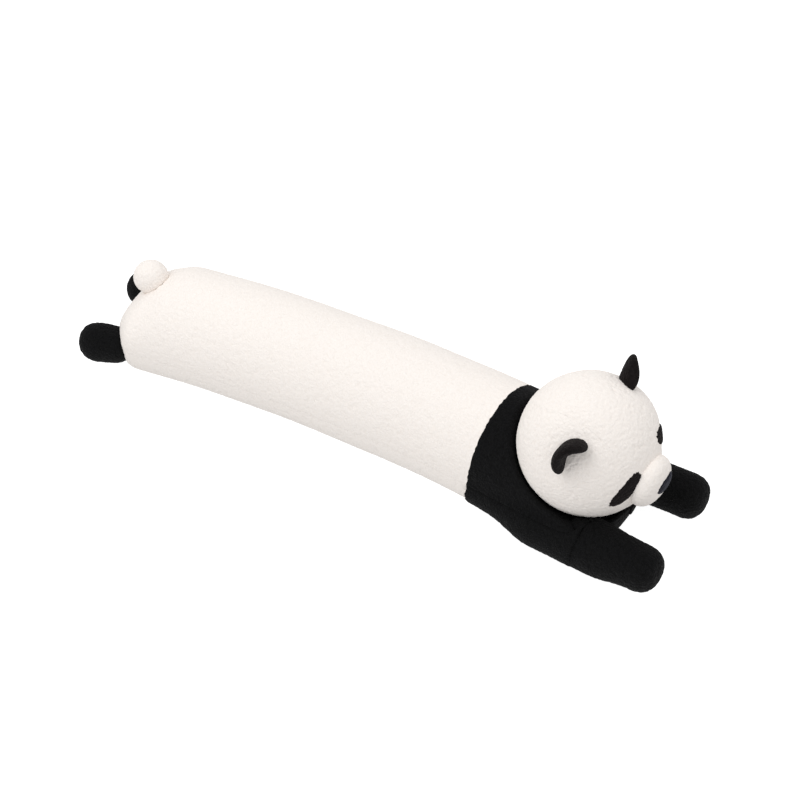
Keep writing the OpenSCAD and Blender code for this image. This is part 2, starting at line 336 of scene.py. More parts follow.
# A material and its node tree
class Finish:
    def __init__(self, name):
        self.material = bpy.data.materials.new(name)
        self.material.use_nodes = True
        self.nodes, self.links = self.material.node_tree.nodes, self.material.node_tree.links
        self.shader = self.nodes["Principled BSDF"]

    def put(self, socket, value):
        if value is None:
            return
        if isinstance(value, Value):
            self.links.new(value.socket, socket)
        else:
            socket.default_value = value

    def node(self, kind, settings=None, inputs=None, out=0):
        node = self.nodes.new(kind)
        for key, value in (settings or {}).items():
            setattr(node, key, value)
        pairs = inputs.items() if isinstance(inputs, dict) else enumerate(inputs or [])
        for key, value in pairs:
            self.put(node.inputs[key], value)
        return Value(self, node.outputs[out])

    def mix(self, amount, a, b):
        node = self.nodes.new("ShaderNodeMix")
        node.data_type = "RGBA"
        self.put(node.inputs["Factor"], amount)
        self.put(node.inputs[6], a)
        self.put(node.inputs[7], b)
        return Value(self, node.outputs[2])


# Linear colour from its display values, 0 to 255
def linear(*colour):
    parts = [c / 255 for c in colour]
    return tuple([c / 12.92 if c <= 0.04045 else ((c + 0.055) / 1.055) ** 2.4 for c in parts] + [1.0])


# Teddy fleece: tufts in their own colour with painted shade deeper between them, a slow drift of tone, and fine
# fibre bumps
def fleece(name, top, creviceShade, drift, sheen, sheenTint, bump, roughness=0.93):
    f = Finish(name)
    place = f.node("ShaderNodeTexCoord", out=3)
    curl = f.node("ShaderNodeAttribute", {"attribute_name": "curl"}, out=2)
    fibre = f.node("ShaderNodeTexNoise", None, {"Vector": place, "Scale": 950.0, "Detail": 3.0, "Roughness": 0.65})
    warp = f.node("ShaderNodeTexNoise", None, {"Vector": place, "Scale": 260.0, "Detail": 1.0}, out=1)
    bent = f.node("ShaderNodeVectorMath", {"operation": "MULTIPLY_ADD"}, [warp, (0.0035, 0.0035, 0.0035), place])
    knots = f.node("ShaderNodeTexVoronoi", {"feature": "SMOOTH_F1"},
                   {"Vector": bent, "Scale": 330.0, "Smoothness": 0.35, "Randomness": 1.0})
    slow = f.node("ShaderNodeTexNoise", None, {"Vector": place, "Scale": 34.0, "Detail": 3.0, "Roughness": 0.6})
    height = fibre * 0.3 - knots
    # Painted shade: the crevice colour falls between the knots and where the curl height is low
    shadedTone = f.mix(1.25 - knots * 1.3 + curl * 0.15, creviceShade, top)
    colour = f.mix(slow * 0.9 - 0.15, shadedTone, drift)
    f.put(f.shader.inputs["Base Color"], colour)
    f.put(f.shader.inputs["Roughness"], fibre * 0.12 + (roughness - 0.06))
    normal = f.node("ShaderNodeBump", None, {"Strength": bump, "Distance": 0.002, "Height": height})
    f.put(f.shader.inputs["Normal"], normal)
    f.shader.inputs["Sheen Weight"].default_value = sheen
    f.shader.inputs["Sheen Roughness"].default_value = 0.45
    f.shader.inputs["Sheen Tint"].default_value = sheenTint
    f.shader.inputs["Specular IOR Level"].default_value = 0.15
    return f.material


# Thread: twisted strands along it, painted shade in the grooves between them, and a slight gloss
def threadFinish(name, colour, shade):
    f = Finish(name)
    place = f.node("ShaderNodeTexCoord", out=3)
    strands = f.node("ShaderNodeTexWave", {"bands_direction": "DIAGONAL"},
                     {"Vector": place, "Scale": 420.0, "Distortion": 1.5})
    f.put(f.shader.inputs["Base Color"], f.mix(strands, shade, colour))
    f.put(f.shader.inputs["Roughness"], strands * 0.15 + 0.5)
    normal = f.node("ShaderNodeBump", None, {"Strength": 0.4, "Distance": 0.0002, "Height": strands})
    f.put(f.shader.inputs["Normal"], normal)
    return f.material


# Polyester filling: pale fibres in drifting clumps, with painted shade in the hollows between them
def fibreFinish(name, colour, shade):
    f = Finish(name)
    place = f.node("ShaderNodeTexCoord", out=3)
    wisps = f.node("ShaderNodeTexNoise", None, {"Vector": place, "Scale": 160.0, "Detail": 5.0, "Distortion": 1.4})
    f.put(f.shader.inputs["Base Color"], f.mix(wisps, shade, colour))
    f.put(f.shader.inputs["Roughness"], wisps * 0.1 + 0.85)
    normal = f.node("ShaderNodeBump", None, {"Strength": 0.6, "Distance": 0.0012, "Height": wisps})
    f.put(f.shader.inputs["Normal"], normal)
    f.shader.inputs["Sheen Weight"].default_value = 0.3
    return f.material


# The second colour of each fleece is painted shade for the crevices between its tufts
finishes = {
    "cream_fleece": fleece("creamFleece", linear(253, 247, 242), linear(247, 239, 232), linear(251, 244, 238), 0.25,
                           (1, 0.98, 0.95, 1), 0.36),
    "black_fleece": fleece("blackFleece", linear(15, 15, 16), linear(1, 1, 1), linear(6, 6, 7), 0.008,
                           (0.6, 0.6, 0.66, 1), 0.9),
    "ear_fleece": fleece("earFleece", linear(26, 21, 21), linear(6, 4, 4), linear(19, 15, 15), 0.02,
                         (0.7, 0.6, 0.6, 1), 0.8),
    "nose_plush": fleece("nosePlush", linear(30, 31, 42), linear(10, 10, 16), linear(24, 25, 34), 0.08,
                         (0.6, 0.6, 0.8, 1), 0.5, 0.8),
    "stuffing": fibreFinish("stuffing", linear(250, 250, 247), linear(232, 232, 228)),
    "cream_thread": threadFinish("creamThread", linear(240, 232, 221), linear(214, 203, 188)),
    "black_thread": threadFinish("blackThread", linear(16, 16, 18), linear(6, 6, 7)),
}
print("materials made")


# Gives a piece its material, hides the parts it stands for, and hangs it on the body it moves with, or only bakes
# its place where it has a blend
def finish(piece, slot, node, body=None, blend=None):
    piece.data.materials.append(finishes[slot])
    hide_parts(*([node] if isinstance(node, str) else node))
    if blend:
        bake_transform(piece)
    else:
        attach(piece, body)


# Limbs: a round profile from the joint's point along the axis, with lengths along it
limbShape = {
    "arm": {"length": 72 * mm, "rootRadius": 29.5 * mm, "tipRadius": 28.4 * mm, "splay": 3, "bluntness": 2.6},
    "leg": {"length": 26 * mm, "rootRadius": 25 * mm, "tipRadius": 27 * mm, "splay": 11, "bluntness": 2.3},
    "clearance": 1.1 * mm, "reach": {"left": 5 * mm, "right": 0}, "pitch": 1.0,
    "fine": 1.7 * mm, "unevenness": 0.7 * mm, "unevenWave": 60 * mm, "bendFrom": -14 * mm, "bendTo": 16 * mm,
    "fillStep": 5 * mm, "fillAround": 40, "fillDepth": 4.2 * mm, "fillRoom": 5 * mm, "fill": 0.85,
}
limbs = {}
for side, sign in (("left", 1), ("right", -1)):
    arm, leg = dict(limbShape["arm"]), dict(limbShape["leg"])
    arm["length"] += limbShape["reach"][side]
    forward = heading(frontAngle + sign * math.radians(arm["splay"]))
    arm["axis"] = unit(forward + np.array([0, 0, math.tan(math.radians(limbShape["pitch"]))]))
    leg["axis"] = heading(rearAngle + math.pi - sign * math.radians(leg["splay"]))
    for kind, limb in (("_arm", arm), ("_leg", leg)):
        limb.update(root=jointPoint(side + kind + "_swing"), body=side + kind, sign=sign)
        limbs[side + kind] = limb


# A cup behind each limb's round root: points inside it move back along the limb's axis
def clearLimbs(points, margin):
    for limb in limbs.values():
        q = points - limb["root"]
        t = q @ limb["axis"]
        rho = np.linalg.norm(q - t[..., None] * limb["axis"], axis=-1)
        r = limb["rootRadius"] + margin
        back = -np.sqrt(np.maximum(r * r - rho * rho, 0))
        inside = (rho < r) & (t > back) & (t < limb["length"] + limb["tipRadius"])
        points = points + np.where(inside, back - t, 0)[..., None] * limb["axis"]
    return points


# Room for a ball: points inside it move straight away from its centre
def clearBall(points, centre, radius):
    q = points - centre
    d = np.linalg.norm(q, axis=-1, keepdims=True)
    return np.where(d < radius, centre + q / np.maximum(d, 1e-9) * radius, points)


cradle = {"radius": 92.8 * mm, "openHalfAngle": 48, "lipBlend": 7 * mm, "lowest": 20 * mm}
tailRadius = (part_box("tail_cover")[1].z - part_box("tail_cover")[0].z) / 2


# How far a point is inside the head's cradle: a ball below, and a cone that opens upwards along the neck
def cradleDepth(points, radius):
    q = points - headCentre
    h = q @ neckAxis
    rho = np.linalg.norm(q - h[..., None] * neckAxis, axis=-1)
    c, s = math.cos(math.radians(cradle["openHalfAngle"])), math.sin(math.radians(cradle["openHalfAngle"]))
    return np.where(rho * s + h * c > 0, radius - (rho * c - h * s), radius - np.hypot(rho, h))


# The cradle's floor height under a point, found by halving the interval
def cradleFloor(points, radius):
    low, high = np.full(points.shape[:-1], -0.05), np.full(points.shape[:-1], 0.4)
    for halving in range(26):
        middle = (low + high) / 2
        test = np.concatenate([points[..., :2], middle[..., None]], -1)
        isIn = cradleDepth(test, radius) > 0
        low, high = np.where(isIn, low, middle), np.where(isIn, middle, high)
    return high


# Extra radius of shoulder and upper arm, greatest outwards and down: bulge * cos(angle from there) ^ 2
def bulgeToward(outwards, upwards):
    down = math.radians(shoulder["bulgeDown"])
    return shoulder["bulge"] * np.maximum(outwards * math.cos(down) - upwards * math.sin(down), 0) ** 2


# Shoulders: a tube along each side of the yoke that swells from the seam and closes round the arm's root.
# A section point nearer to the tube's middle than its radius moves straight away from it
def addShoulders(w, y, z, inset):
    for side in ("left", "right"):
        arm = limbs[side + "_arm"]
        end = (arm["root"] - seamPoint) @ heading(frontAngle)
        past = np.maximum(w - end - shoulder["closeFrom"], 0) / shoulder["closeLength"]
        close = np.sqrt(np.clip(1 - past ** 2, 0, 1))
        grow = smoothStep(w / shoulder["full"])
        swell = smoothStep((w - shoulder["bulgeStart"]) / (shoulder["full"] - shoulder["bulgeStart"]))
        dy, dz = y - arm["sign"] * shoulder["side"], z - shoulder["height"]
        far = np.maximum(np.hypot(dy, dz), 1e-6)
        radius = shoulder["radius"] * (shoulder["seamShare"] + (1 - shoulder["seamShare"]) * grow)
        radius = (radius + bulgeToward(arm["sign"] * dy / far, dz / far) * swell) * close - inset
        pushed = -softMin(-far, -radius, shoulder["blend"])
        scale = np.where((w > 0) & (y * arm["sign"] > shoulder["inner"]), pushed / far, 1)
        y, z = arm["sign"] * shoulder["side"] + dy * scale, shoulder["height"] + dz * scale
    return y, z


# Body surface: an egg-shaped section, half width and heights that fall away to each end, by distance w from
# the yoke seam and angle a round the section, 0 and pi on the side seams
def bodySurface(w, a, inset=0.0):
    s = bodyShape
    wander = np.sin(a * 37 + 2.1 * np.sin(a * 15)) * np.exp(-(w / s["wanderWidth"]) ** 2)
    w = w + s["seamWander"] * wander
    fromRear, fromFront = np.maximum(w + bodyLength, 0), np.maximum(s["yokeLength"] - w, 0)

    def bulge(d):
        return np.sqrt(np.maximum(s["endBulge"] ** 2 - np.maximum(s["endBulge"] - d, 0) ** 2, 0))

    half = softMin(bulge(fromRear), np.full_like(w, s["halfWidth"]), s["endBlend"])
    half = softMin(half, bulge(fromFront), s["endBlend"])
    half = np.maximum(half, 0)
    rise = s["rise"] * quarterCurve(fromRear, s["rearSlope"], s["rearPower"])
    rise = rise * quarterCurve(fromFront, s["frontSlope"], s["frontPower"])
    drop = s["seamHeight"] * quarterCurve(fromRear, s["underSlope"], 2)
    drop = drop * quarterCurve(fromFront, s["underSlope"], 2)
    ends = np.clip(1 - np.minimum(fromRear, fromFront) / s["endZone"], 0, 1)
    c, n = np.cos(a), np.sin(a)
    power = np.where(n >= 0, 2 / (s["backPower"] + 0.5 * ends), 2 / s["bellyPower"])
    y = np.maximum(half - inset, 0) * np.sign(c) * np.abs(c) ** power
    z = np.where(n >= 0, np.maximum(rise - inset, 0), -np.maximum(drop - inset, 0)) * np.abs(n) ** power
    y, z = addShoulders(w, y, s["seamHeight"] + z, inset)
    base, angle = spine(w)
    points = base + y[..., None] * leftOf(angle)
    points[..., 2] = z
    d = s["unevenness"] * lumps(points, s["unevenWave"], 1.0) * np.clip(1 - ends, 0, 1)
    middle = base.copy()
    middle[..., 2] = s["seamHeight"]
    points = points + unit(points - middle + 1e-9) * d[..., None]
    points[..., 2] = np.maximum(points[..., 2], inset + s["floorGap"])
    return points


# The same surface with the room for head, limbs and tail pressed into it, margin wider than they need
def bodyWithRoom(w, a, inset=0.0, margin=0.0):
    p = bodySurface(w, a, inset)
    floor = cradleFloor(p, cradle["radius"] + margin)
    lowered = softMin(p[..., 2], np.maximum(floor, cradle["lowest"]), cradle["lipBlend"])
    p[..., 2] = np.where(np.sin(a) >= 0, lowered, p[..., 2])
    p = clearLimbs(p, limbShape["clearance"] + margin)
    p = clearBall(p, tailCentre, tailRadius + limbShape["clearance"] + margin)
    return clearBall(p, headCentre, cradle["radius"] + margin)


# Distances along the body: zone * (1 - cos(turn)) at a rounded tip and even after it
def endStations(length, step):
    zone = bodyShape["endZone"]
    turn = np.linspace(0, math.pi / 2, int(zone * math.pi / 2 / step) + 1)
    tip = zone * (1 - np.cos(turn))
    rest = np.linspace(zone, length, max(int((length - zone) / step), 2))[1:]
    return np.concatenate([tip, rest])


step = pile["step"]
rearStations = endStations(bodyLength, step) - bodyLength
frontStations = bodyShape["yokeLength"] - endStations(bodyShape["yokeLength"], step)[::-1]


# Body panels: the stations by the angles of the upper or the lower half, which stop just short of the side seams
halves = {"upper": (0.0006, 3.14125), "lower": (3.141941, 6.283283)}
insidePoint = {"body": np.append(spine(-bodyLength / 2)[0][:2], bodyShape["seamHeight"]),
               "yoke": np.append(spine(bodyShape["yokeLength"] / 2)[0][:2], cradle["lowest"])}
panelLook = {"body": {"slot": "cream_fleece", "fill": 0.9, "salt": 1, "sharpRim": True},
             "yoke": {"slot": "black_fleece", "fill": 0.85, "salt": 4, "sharpRim": False}}
bodyPanels = {
    "backPanel": ("body", "back_panel", rearStations, "upper", "last"),
    "bellyPanel": ("body", "belly_panel", rearStations, "lower", "last"),
    "yokeBackPanel": ("yoke", "yoke_back_panel", frontStations, "upper", "first"),
    "yokeChestPanel": ("yoke", "yoke_chest_panel", frontStations, "lower", "first"),
}
for name, (part, node, stations, half, seamRow) in bodyPanels.items():
    look = panelLook[part]
    count = int(math.pi * bodyShape["halfWidth"] / step)
    angles = np.linspace(*halves[half], count)
    grid = bodyWithRoom(*np.meshgrid(stations, angles, indexing="ij"))
    piece = panel(name, grid, sides=(seamRow, "left", "right"), inside=insidePoint[part], salt=look["salt"],
                  sharpRim=look["sharpRim"])
    finish(piece, look["slot"], node, "torso")
print("body panels made")

threadShape = {"radius": 0.55 * mm, "stitch": 4 * mm, "depth": 2.2 * mm,
               "ringRadius": 0.6 * mm, "ringDepth": 1.4 * mm}


# Thread of the side seams: from the yoke seam to the tip on one side and back on the other, under the pile
def sideThread(name, slot, node, toTip):
    w = np.concatenate([toTip, toTip[::-1][1:]])
    a = np.where(np.arange(len(w)) < len(toTip), 0, math.pi)
    path = bodyWithRoom(w, a, threadShape["depth"])
    piece = thread(name, path[2:-2], threadShape["radius"], threadShape["stitch"], closed=False)
    finish(piece, slot, node, "torso")


sideThread("sideSeamStitching", "cream_thread", "side_seam_stitching", rearStations[::-1])
sideThread("yokeSideStitching", "black_thread", "yoke_side_stitching", frontStations)
seamTurns = np.linspace(0, 2 * math.pi, 420, endpoint=False)
ringPath = bodyWithRoom(np.zeros_like(seamTurns), seamTurns, threadShape["ringDepth"])
finish(thread("yokeSeamStitching", ringPath, threadShape["ringRadius"], threadShape["stitch"]),
       "black_thread", "yoke_seam_stitching", "torso")

# Filling of the body and the yoke, which stands back from the covers by inset and from the hollows by room
fillShape = {"step": 7 * mm, "around": 76, "fromSeam": 1.5 * mm, "yokeShort": 42 * mm, "yokeRows": 24,
             "body": {"inset": 4.5 * mm, "room": 4 * mm}, "yoke": {"inset": 9 * mm, "room": 9 * mm}}


# A filling's grid, closed to the middle point of its rows where they don't end at a tip
def bodyFilling(stations, part, closeFirst):
    allAround = np.linspace(0, 2 * math.pi, fillShape["around"], endpoint=False)
    w, a = np.meshgrid(stations, allAround, indexing="ij")
    grid = bodyWithRoom(w, a, fillShape[part]["inset"], fillShape[part]["room"])
    first, last = (np.repeat(grid[row].mean(0)[None, None], fillShape["around"], 1) for row in (0, -1))
    return np.concatenate([first, grid, last] if closeFirst else [grid, last])


rearFill = endStations(bodyLength, fillShape["step"]) - bodyLength
rearFill = np.minimum(np.append(rearFill, 0), -fillShape["fromSeam"])
yokeFillEnd = bodyShape["yokeLength"] - fillShape["yokeShort"]
frontFill = np.linspace(fillShape["fromSeam"], yokeFillEnd, fillShape["yokeRows"])
finish(filling("bodyStuffing", bodyFilling(rearFill, "body", False)),
       "stuffing", "body_stuffing", "torso")
finish(filling("yokeStuffing", bodyFilling(frontFill, "yoke", True)),
       "stuffing", "yoke_stuffing", "torso")
print("filling made")


# Limb surface: a round section about the axis, from a ball at the root by a straight side to a blunt tip, where
# |along|^bluntness + |radius|^bluntness is constant
def limbSurface(limb, steps, around, inset=0.0):
    length, blunt = limb["length"], limb["bluntness"]
    r0, r1 = limb["rootRadius"] - inset, limb["tipRadius"] - inset
    lean = math.asin((r1 - r0) / length)
    a = np.linspace(math.pi, math.pi / 2 + lean, max(int(r0 * 1.5 / steps), 6))
    root = np.stack([r0 * np.cos(a), r0 * np.sin(a)], -1)
    b = np.linspace(math.pi / 2 + lean, 0, max(int(r1 * 1.5 / steps), 6))
    flat = np.sign(np.cos(b)) * np.abs(np.cos(b)) ** (2 / blunt)
    tip = np.stack([length + r1 * flat, r1 * np.abs(np.sin(b)) ** (2 / blunt)], -1)
    count = max(int(length / steps), 4)
    shaft = np.linspace(root[-1], tip[0], count + 2)[1:-1]
    profile = np.concatenate([root, shaft, tip])
    profile[0, 1] = profile[-1, 1] = 0
    turn = np.linspace(0, 2 * math.pi, around, endpoint=False)
    across = np.cross(np.array([0, 0, 1.0]), limb["axis"])
    ring = np.cos(turn)[:, None] * across + np.sin(turn)[:, None] * np.array([0, 0, 1.0])
    along, radius = profile[:, :1], profile[:, 1:]
    if limb["body"].endswith("arm"):
        fade = smoothStep((length - 2 * mm - along) / (0.7 * length)) * np.clip(radius / limb["rootRadius"], 0, 1)
        radius = radius + bulgeToward(np.cos(turn)[None] * limb["sign"], np.sin(turn)[None]) * fade
    return limb["root"] + along[..., None] * limb["axis"] + radius[..., None] * ring[None]


for name, limb in limbs.items():
    shape = limbShape
    root, axis = limb["root"], limb["axis"]
    bend = ("torso", limb["body"], tuple(root + shape["bendFrom"] * axis), tuple(root + shape["bendTo"] * axis))
    skin = limbSurface(limb, shape["fine"], int(2 * math.pi * limb["tipRadius"] / shape["fine"]))
    outward = unit(skin - root - ((skin - root) @ axis)[..., None] * axis + 1e-9)
    skin = skin + outward * (shape["unevenness"] * lumps(skin, shape["unevenWave"], limb["sign"]))[..., None]
    skin = clearBall(skin, headCentre, cradle["radius"])
    piece = panel(name + "Cover", skin, wrap=True, inside=root, salt=9)
    finish(piece, "black_fleece", name + "_cover", blend=bend)
    inner = limbSurface(limb, shape["fillStep"], shape["fillAround"], shape["fillDepth"])
    inner = clearBall(inner, headCentre, cradle["radius"] + shape["fillRoom"])
    finish(filling(name + "Stuffing", inner, height=0.3 * mm), "stuffing", name + "_stuffing", blend=bend)


# Ball: a sphere by latitude rows and longitude columns, its height multiplied by squash
def ball(centre, radius, rows, cols, squash=1.0):
    up = np.linspace(-math.pi / 2, math.pi / 2, rows)[:, None]
    turn = np.linspace(0, 2 * math.pi, cols, endpoint=False)[None]
    d = np.stack([np.cos(up) * np.cos(turn), np.cos(up) * np.sin(turn), np.sin(up) * squash + 0 * turn], -1)
    d[0], d[-1] = (0, 0, -squash), (0, 0, squash)
    return centre + radius * d


tailShape = {"radius": tailRadius - 0.3 * mm, "squash": 0.97, "rows": 56, "cols": 112, "curlHeight": 1.1 * mm,
             "fillDepth": 4.4 * mm, "fill": 0.9}
tailSkin = ball(tailCentre, tailShape["radius"], tailShape["rows"], tailShape["cols"], tailShape["squash"])
finish(panel("tailCover", tailSkin, wrap=True, inside=tailCentre, salt=13, curlHeight=tailShape["curlHeight"]),
       "cream_fleece", "tail_cover", "tail")
tailFill = ball(tailCentre, tailShape["radius"] - tailShape["fillDepth"], 20, 32)
finish(filling("tailStuffing", tailFill, height=0.4 * mm),
       "stuffing", "tail_stuffing", "tail")
print("limbs and tail made")

headShape = {"radius": 88.6 * mm, "crownHalf": 20.62639, "seamHalf": 0.02, "fine": 1.5 * mm, "fill": 0.95,
             "dent": 4.2 * mm, "dentWidth": 20, "dentSide": 38, "dentUp": 0,
             "unevenness": 0.5 * mm, "unevenWave": 75 * mm, "threadDepth": 2.2 * mm, "fillDepth": 4.6 * mm}


# A direction on the head by its angles to the left of the front and upwards
def headAim(side, up):
    side, up = math.radians(side), math.radians(up)
    return (math.cos(up) * (math.cos(side) * headFront + math.sin(side) * headLeft) + math.sin(up) * headUp)


faceFlat = headAim(headShape["dentSide"], headShape["dentUp"])


# Head radius: a ball, flattened round the far side of the face by dent * exp(-(angle / width)^2)
def headRadius(d):
    angle = np.arccos(np.clip(d @ faceFlat, -1, 1))
    return headShape["radius"] - headShape["dent"] * np.exp(-(angle / math.radians(headShape["dentWidth"])) ** 2)


# Head direction: latitude from the middle plane towards the left, and turn about that left axis from the front
def headDirection(latitude, turn):
    flat = np.cos(turn)[..., None] * headFront + np.sin(turn)[..., None] * headUp
    return np.cos(latitude)[..., None] * flat + np.sin(latitude)[..., None] * headLeft


# A band of the head between two latitudes, with the slow unevenness of its filling
def headBand(low, high):
    rows = max(int(headShape["radius"] * (high - low) / headShape["fine"]), 6)
    cols = int(2 * math.pi * headShape["radius"] / headShape["fine"])
    turns = np.linspace(0, 2 * math.pi, cols, endpoint=False)
    d = headDirection(*np.meshgrid(np.linspace(low, high, rows), turns, indexing="ij"))
    for row, angle in ((0, low), (-1, high)):
        if abs(abs(angle) - math.pi / 2) < 1e-6:
            d[row] = np.sign(angle) * headLeft
    grid = headCentre + headRadius(d)[..., None] * d
    return grid + d * (headShape["unevenness"] * lumps(grid, headShape["unevenWave"], 3.0))[..., None]


crown = math.radians(headShape["crownHalf"])
gapAngle = math.radians(headShape["seamHalf"])
headBands = {
    "headRightPanel": (-math.pi / 2, -crown - gapAngle, ("last",), "head_right_panel"),
    "headCrownPanel": (-crown + gapAngle, crown - gapAngle, ("first", "last"), "head_crown_panel"),
    "headLeftPanel": (crown + gapAngle, math.pi / 2, ("first",), "head_left_panel"),
}
for name, (low, high, sides, node) in headBands.items():
    piece = panel(name, headBand(low, high), wrap=True, sides=sides, inside=headCentre, salt=21, sharpRim=True)
    finish(piece, "cream_fleece", node, "head")
for name, latitude in (("headSeamStitching", crown), ("headSeamStitchingRight", -crown)):
    d = headDirection(np.full_like(seamTurns, latitude), seamTurns)
    path = headCentre + (headShape["radius"] - headShape["threadDepth"]) * d
    finish(thread(name, path, 0.5 * mm, threadShape["stitch"]), "cream_thread", "head_seam_stitching", "head")
headFill = ball(headCentre, headShape["radius"] - headShape["fillDepth"], 44, 80)
finish(filling("headStuffing", headFill, height=0.5 * mm),
       "stuffing", "head_stuffing", "head")


# A thin closed piece: an outer and an inner face on grids of the same outline, and the strip between them
def lens(name, outer, inner, curl, flip):
    rows, cols = outer.shape[:2]
    total = rows * cols
    j = np.arange(cols)
    a, b = (rows - 1) * cols + j, (rows - 1) * cols + (j + 1) % cols
    faces = np.concatenate([gridFaces(rows, cols, True), gridFaces(rows, cols, True, total)[:, ::-1],
                            np.stack([a, b, b + total, a + total], -1)])
    shade = np.concatenate([curl.ravel(), np.full(total, 0.3)])
    points = np.concatenate([outer.reshape(-1, 3), inner.reshape(-1, 3)])
    return addMesh(name, points, faces[:, ::-1] if flip else faces, shade)


# A patch or bump on the head: height over the head's ball, by share rho of its outline and angle round it.
# Height is peak * (1 - rho^power)^fullness over the outline's half length and half width
def cap(name, direction, along, halfLength, halfWidth, peak, power, fullness, outline=2.0, baseHeight=None,
        under=0.5 * mm, fine=1.3 * mm, curlHeight=0.6 * mm, curlSize=pile["curlSize"], salt=31, ragged=0.0):
    direction = unit(direction)
    along = unit(along - (along @ direction) * direction)
    across = np.cross(direction, along)
    rows = max(int(halfLength * 1.25 / fine), 8)
    cols = int(2 * math.pi * halfLength / fine)
    rho = np.sin(np.linspace(0, math.pi / 2, rows))[:, None]
    a = np.linspace(0, 2 * math.pi, cols, endpoint=False)[None]
    edge = rho * (1 + ragged * (np.sin(23 * a + 1.7 * np.sin(5 * a)) + np.sin(13 * a)) * rho ** 6)
    x = edge * halfLength * np.sign(np.cos(a)) * np.abs(np.cos(a)) ** (2 / outline)
    y = edge * halfWidth * np.sign(np.sin(a)) * np.abs(np.sin(a)) ** (2 / outline)
    d = unit(headShape["radius"] * direction + x[..., None] * along + y[..., None] * across)
    base = baseHeight(d) if baseHeight else 0
    top = base + peak * np.maximum(1 - rho ** power, 0) ** fullness + 0 * a
    grid = headCentre + d * (headRadius(d) + top)[..., None]
    n = gridNormals(grid, True)
    flip = (n * d).sum(-1).mean() < 0
    n = -n if flip else n
    curl = curls(grid, curlSize, salt)
    outer = grid + n * (curlHeight * curl * (1 - 0.7 * rho ** 8))[..., None]
    inner = headCentre + d * (headRadius(d) + base - under)[..., None]
    return lens(name, outer, inner, curl, flip)


muzzleShape = {"pitch": -5.5, "halfLength": 37 * mm, "halfWidth": 34 * mm, "peak": 17 * mm, "power": 3.4,
               "fullness": 0.6, "fillDepth": 5 * mm, "fill": 0.8}
muzzleDirection = headAim(0, muzzleShape["pitch"])
muzzleAcross = np.cross(muzzleDirection, headLeft)


# The muzzle's height over the head in a direction, for what is sewn on it
def muzzleHeight(d):
    m = muzzleShape
    k = headShape["radius"] / np.maximum(d @ muzzleDirection, 0.2)
    rho = np.hypot((d @ headLeft) * k / m["halfLength"], (d @ muzzleAcross) * k / m["halfWidth"])
    return m["peak"] * np.maximum(1 - np.minimum(rho, 1) ** m["power"], 0) ** m["fullness"]


for name, node, slot, depth, settings in (
        ("muzzleCover", "muzzle_cover", "cream_fleece", 0, {"under": 0.8 * mm, "curlHeight": 0.8 * mm, "salt": 21}),
        ("muzzleStuffing", "muzzle_stuffing", "stuffing", muzzleShape["fillDepth"],
         {"under": -0.3 * mm, "fine": 4 * mm, "curlHeight": 0.2 * mm})):
    m = muzzleShape
    piece = cap(name, muzzleDirection, headLeft, m["halfLength"] - depth, m["halfWidth"] - depth, m["peak"] - depth,
                m["power"], m["fullness"], **settings)
    finish(piece, slot, node, "head")

noseShape = {"side": 3, "pitch": -2.9959, "halfLength": 14.5 * mm, "halfWidth": 8.5 * mm, "peak": 2.8 * mm}
nose = cap("nosePatch", headAim(noseShape["side"], noseShape["pitch"]), headLeft, noseShape["halfLength"],
           noseShape["halfWidth"], noseShape["peak"], 4, 0.5, 2.3, baseHeight=muzzleHeight, under=0.2 * mm,
           fine=0.8 * mm, curlHeight=0.25 * mm, curlSize=1.6 * mm)
finish(nose, "nose_plush", "nose_patch", "head")

eyeShape = {"side": {"left": 35.5, "right": 26}, "up": {"left": 11.0, "right": 5.7}, "slant": 42,
            "halfLength": 28.5 * mm, "halfWidth": 11.4 * mm, "peak": 2.4 * mm}
for side, sign in (("left", 1), ("right", -1)):
    yaw, slant = math.radians(eyeShape["side"][side]), math.radians(eyeShape["slant"])
    direction = headAim(sign * eyeShape["side"][side], eyeShape["up"][side])
    level = -sign * math.sin(yaw) * headFront + math.cos(yaw) * headLeft
    along = math.cos(slant) * level - sign * math.sin(slant) * np.cross(direction, level)
    eye = cap(side + "EyePatch", direction, along, eyeShape["halfLength"], eyeShape["halfWidth"], eyeShape["peak"],
              5, 0.5, 2.3, under=0.4 * mm, fine=0.9 * mm, curlHeight=0.9 * mm, curlSize=3 * mm, ragged=0.03)
    finish(eye, "ear_fleece", side + "_eye_patch", "head")

earShape = {"halfWidth": 29 * mm, "height": 40 * mm, "layer": 6.6 * mm, "edge": 3.2, "cupRadius": 21 * mm,
            "root": 1.5 * mm, "rootBlend": 3 * mm, "gap": 0.1 * mm, "fine": 1.2 * mm,
            "curlSize": 3 * mm, "curlHeight": 0.7 * mm, "bendFrom": 0.5 * mm, "bendTo": 14 * mm,
            "scale": {"left": 0.84, "right": 1.0}, "slide": {"left": 5 * mm, "right": 0},
            "setBack": {"left": 9 * mm, "right": 8 * mm}, "leanBack": {"left": 11, "right": -6},
            "turn": {"left": -4, "right": 14}}


